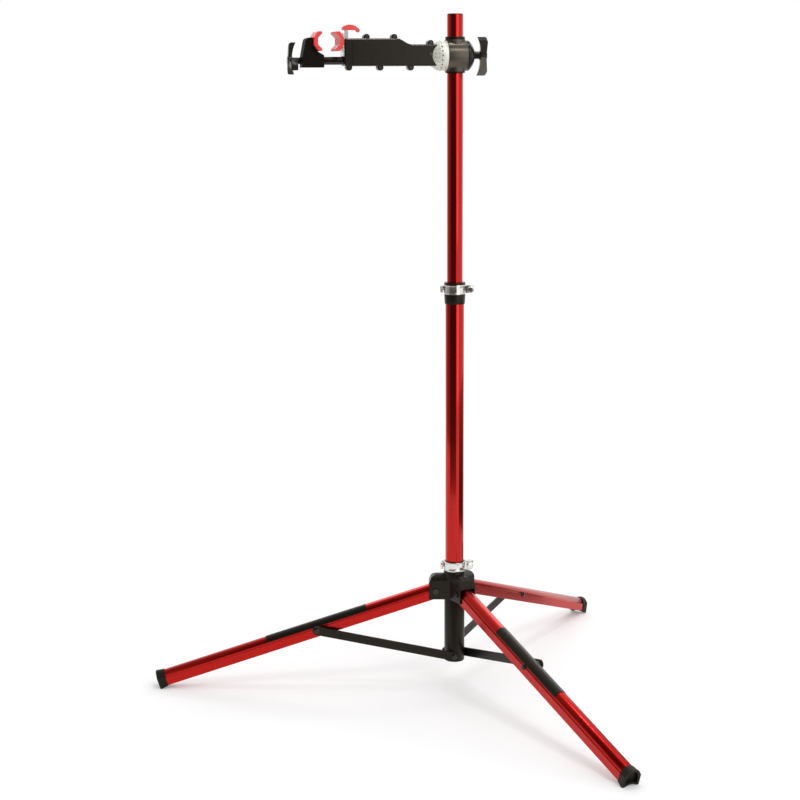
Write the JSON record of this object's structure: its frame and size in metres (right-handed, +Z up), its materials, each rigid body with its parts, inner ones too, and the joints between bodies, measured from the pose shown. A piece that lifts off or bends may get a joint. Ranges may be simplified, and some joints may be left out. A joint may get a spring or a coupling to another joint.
{
  "type": "bicycle repair stand",
  "caption": "Folding bicycle repair stand: telescoping mast on a sliding, braced tripod, with a swivelling clamp arm and screw jaws that hold a bike by its tube.",
  "frame": {"origin": "on the mast's axis at floor level, in the middle of the three feet", "axes": "+Z up along the mast, clamp arm along -X at rest, +X towards the clamp head's own handle"},
  "size_m": [1.0506, 1.0699, 1.382],
  "materials": {
    "red_anodised": "red satin anodised",
    "black_metal": "black powder coat",
    "chrome": "bright polished",
    "steel": "zinc plated",
    "dark_steel": "black oxide, oiled",
    "bright_plate": "bright zinc",
    "silver_aluminium": "machined",
    "grey_aluminium": "grey anodised",
    "black_plastic": "moulded, fine grain",
    "black_rubber": "matt",
    "red_jaw": "moulded, slightly soft"
  },
  "bodies": {
    "mast": {"lower_tube": "red_anodised", "base_sleeve": "black_metal", "base_plug": "black_plastic", "brace_rivets": "dark_steel", "mid_collar": "black_plastic", "mid_qr_band": "chrome", "mid_qr_skewer": "steel", "mid_qr_nut": "chrome"},
    "mid_lever": {"mid_qr_lever": "chrome"},
    "upper_mast": {"upper_tube": "red_anodised", "tube_bush": "black_plastic", "top_cap": "black_plastic"},
    "hub": {"tripod_hub": "black_metal", "leg_pins": "dark_steel", "hub_qr_band": "chrome", "hub_qr_skewer": "steel", "hub_qr_nut": "chrome"},
    "hub_lever": {"hub_qr_lever": "chrome"},
    "leg_assembly_1": {"leg_1": "red_anodised", "foot_cap_1": "black_rubber", "leg_bolt_1": "dark_steel"},
    "leg_assembly_2": {"leg_2": "red_anodised", "foot_cap_2": "black_rubber", "leg_bolt_2": "dark_steel"},
    "leg_assembly_3": {"leg_3": "red_anodised", "foot_cap_3": "black_rubber", "leg_bolt_3": "dark_steel"},
    "brace_assembly_1": {"brace_1": "black_metal", "brace_bolt_1": "dark_steel"},
    "brace_assembly_2": {"brace_2": "black_metal", "brace_bolt_2": "dark_steel"},
    "brace_assembly_3": {"brace_3": "black_metal", "brace_bolt_3": "dark_steel"},
    "head_slider": {"head_bush": "black_plastic"},
    "head": {"head_casting": "grey_aluminium", "index_ring": "silver_aluminium", "dome_cap": "black_plastic", "brake_shoe": "black_plastic"},
    "shoe": {"pressure_shoe": "black_plastic"},
    "head_knob": {"head_screw": "steel", "head_handle": "black_plastic"},
    "arm": {"index_hub": "silver_aluminium", "arm_shaft": "steel", "shaft_clip": "steel", "arm_shell_front": "black_plastic", "arm_shell_rear": "black_plastic", "shell_screws": "dark_steel", "rod_bushes": "black_plastic", "lever_pin": "steel", "lever_spring": "steel", "jaw_plate": "bright_plate", "fixed_jaw": "red_jaw"},
    "lever": {"release_lever": "red_jaw"},
    "nut": {"half_nut": "steel"},
    "rod": {"clamp_rod": "dark_steel"},
    "carrier": {"jaw_carrier": "black_plastic", "moving_jaw": "red_jaw"},
    "jaw_knob": {"feed_screw": "steel", "jaw_handle": "black_plastic"}
  },
  "joints": [
    {"name": "hub_slide", "type": "slide", "parent": "mast", "child": "hub", "axis": [0, 0, 1], "range_m": [0, 0.4102]},
    {"name": "leg_fold_1", "type": "hinge", "parent": "hub", "child": "leg_assembly_1", "pos_m": [-0.03766, 0.00869, 0.2119], "axis": [-0.225, -0.9744, 0], "range_deg": [0, 70.3]},
    {"name": "leg_fold_2", "type": "hinge", "parent": "hub", "child": "leg_assembly_2", "pos_m": [0.0113, -0.03696, 0.2119], "axis": [0.9563, 0.2924, 0], "range_deg": [0, 70.3]},
    {"name": "leg_fold_3", "type": "hinge", "parent": "hub", "child": "leg_assembly_3", "pos_m": [0.02636, 0.02827, 0.2119], "axis": [-0.7314, 0.682, 0], "range_deg": [0, 70.3]},
    {"name": "brace_fold_1", "type": "hinge", "parent": "mast", "child": "brace_assembly_1", "pos_m": [-0.00535, -0.02319, 0.073], "axis": [0.225, 0.9744, 0], "range_deg": [0, 70.22]},
    {"name": "brace_fold_2", "type": "hinge", "parent": "mast", "child": "brace_assembly_2", "pos_m": [0.02276, 0.00696, 0.073], "axis": [-0.9563, -0.2924, 0], "range_deg": [0, 70.22]},
    {"name": "brace_fold_3", "type": "hinge", "parent": "mast", "child": "brace_assembly_3", "pos_m": [-0.01741, 0.01623, 0.073], "axis": [0.7314, -0.682, 0], "range_deg": [0, 70.22]},
    {"name": "hub_lever_turn", "type": "hinge", "parent": "hub", "child": "hub_lever", "pos_m": [0.03405, 0.00573, 0.2637], "axis": [0, 0, -1], "range_deg": [0, 140]},
    {"name": "mid_lever_turn", "type": "hinge", "parent": "mast", "child": "mid_lever", "pos_m": [0.03405, 0.00573, 0.839], "axis": [0, 0, -1], "range_deg": [0, 140]},
    {"name": "mast_height", "type": "slide", "parent": "mast", "child": "upper_mast", "axis": [0, 0, 1], "range_m": [-0.3, 0.15]},
    {"name": "head_height", "type": "slide", "parent": "upper_mast", "child": "head_slider", "axis": [0, 0, 1], "range_m": [-0.1, 0.03]},
    {"name": "head_swivel", "type": "hinge", "parent": "head_slider", "child": "head", "pos_m": [0, 0, 1.301], "axis": [0, 0, 1], "continuous": true},
    {"name": "shoe_slide", "type": "slide", "parent": "head", "child": "shoe", "axis": [1, 0, 0], "range_m": [0, 0.0015]},
    {"name": "head_knob_turn", "type": "hinge", "parent": "shoe", "child": "head_knob", "pos_m": [0.05, 0, 1.301], "axis": [1, 0, 0], "range_deg": [0, 360]},
    {"name": "arm_rotation", "type": "hinge", "parent": "head", "child": "arm", "pos_m": [-0.036, 0, 1.301], "axis": [-1, 0, 0], "continuous": true},
    {"name": "release_lever_pull", "type": "hinge", "parent": "arm", "child": "lever", "pos_m": [-0.188, 0, 1.3215], "axis": [0, 1, 0], "range_deg": [0, 7.6], "stiffness_Nm_per_rad": 2, "springref_deg": -5.73, "deforming": ["lever_spring"]},
    {"name": "half_nut_lift", "type": "slide", "parent": "arm", "child": "nut", "axis": [0, 0, 1], "range_m": [0, 0.0025]},
    {"name": "jaw_slide", "type": "slide", "parent": "arm", "child": "rod", "axis": [-1, 0, 0], "range_m": [-0.017, 0.045]},
    {"name": "fine_feed", "type": "slide", "parent": "rod", "child": "carrier", "axis": [-1, 0, 0], "range_m": [-0.008, 0.004]},
    {"name": "jaw_knob_turn", "type": "hinge", "parent": "carrier", "child": "jaw_knob", "pos_m": [-0.3169, 0, 1.2914], "axis": [-1, 0, 0], "range_deg": [-720, 360]}
  ],
  "couplings": [
    {"joint": "leg_fold_1", "follows": "hub_slide", "rad_per_m": 2.9904},
    {"joint": "leg_fold_2", "follows": "hub_slide", "rad_per_m": 2.9904},
    {"joint": "leg_fold_3", "follows": "hub_slide", "rad_per_m": 2.9904},
    {"joint": "brace_fold_1", "follows": "hub_slide", "rad_per_m": 2.9866},
    {"joint": "brace_fold_2", "follows": "hub_slide", "rad_per_m": 2.9866},
    {"joint": "brace_fold_3", "follows": "hub_slide", "rad_per_m": 2.9866},
    {"joint": "head_knob_turn", "follows": "shoe_slide", "rad_per_m": 4188.8},
    {"joint": "release_lever_pull", "follows": "half_nut_lift", "rad_per_m": 53.05},
    {"joint": "jaw_knob_turn", "follows": "fine_feed", "rad_per_m": 1570.8}
  ]
}
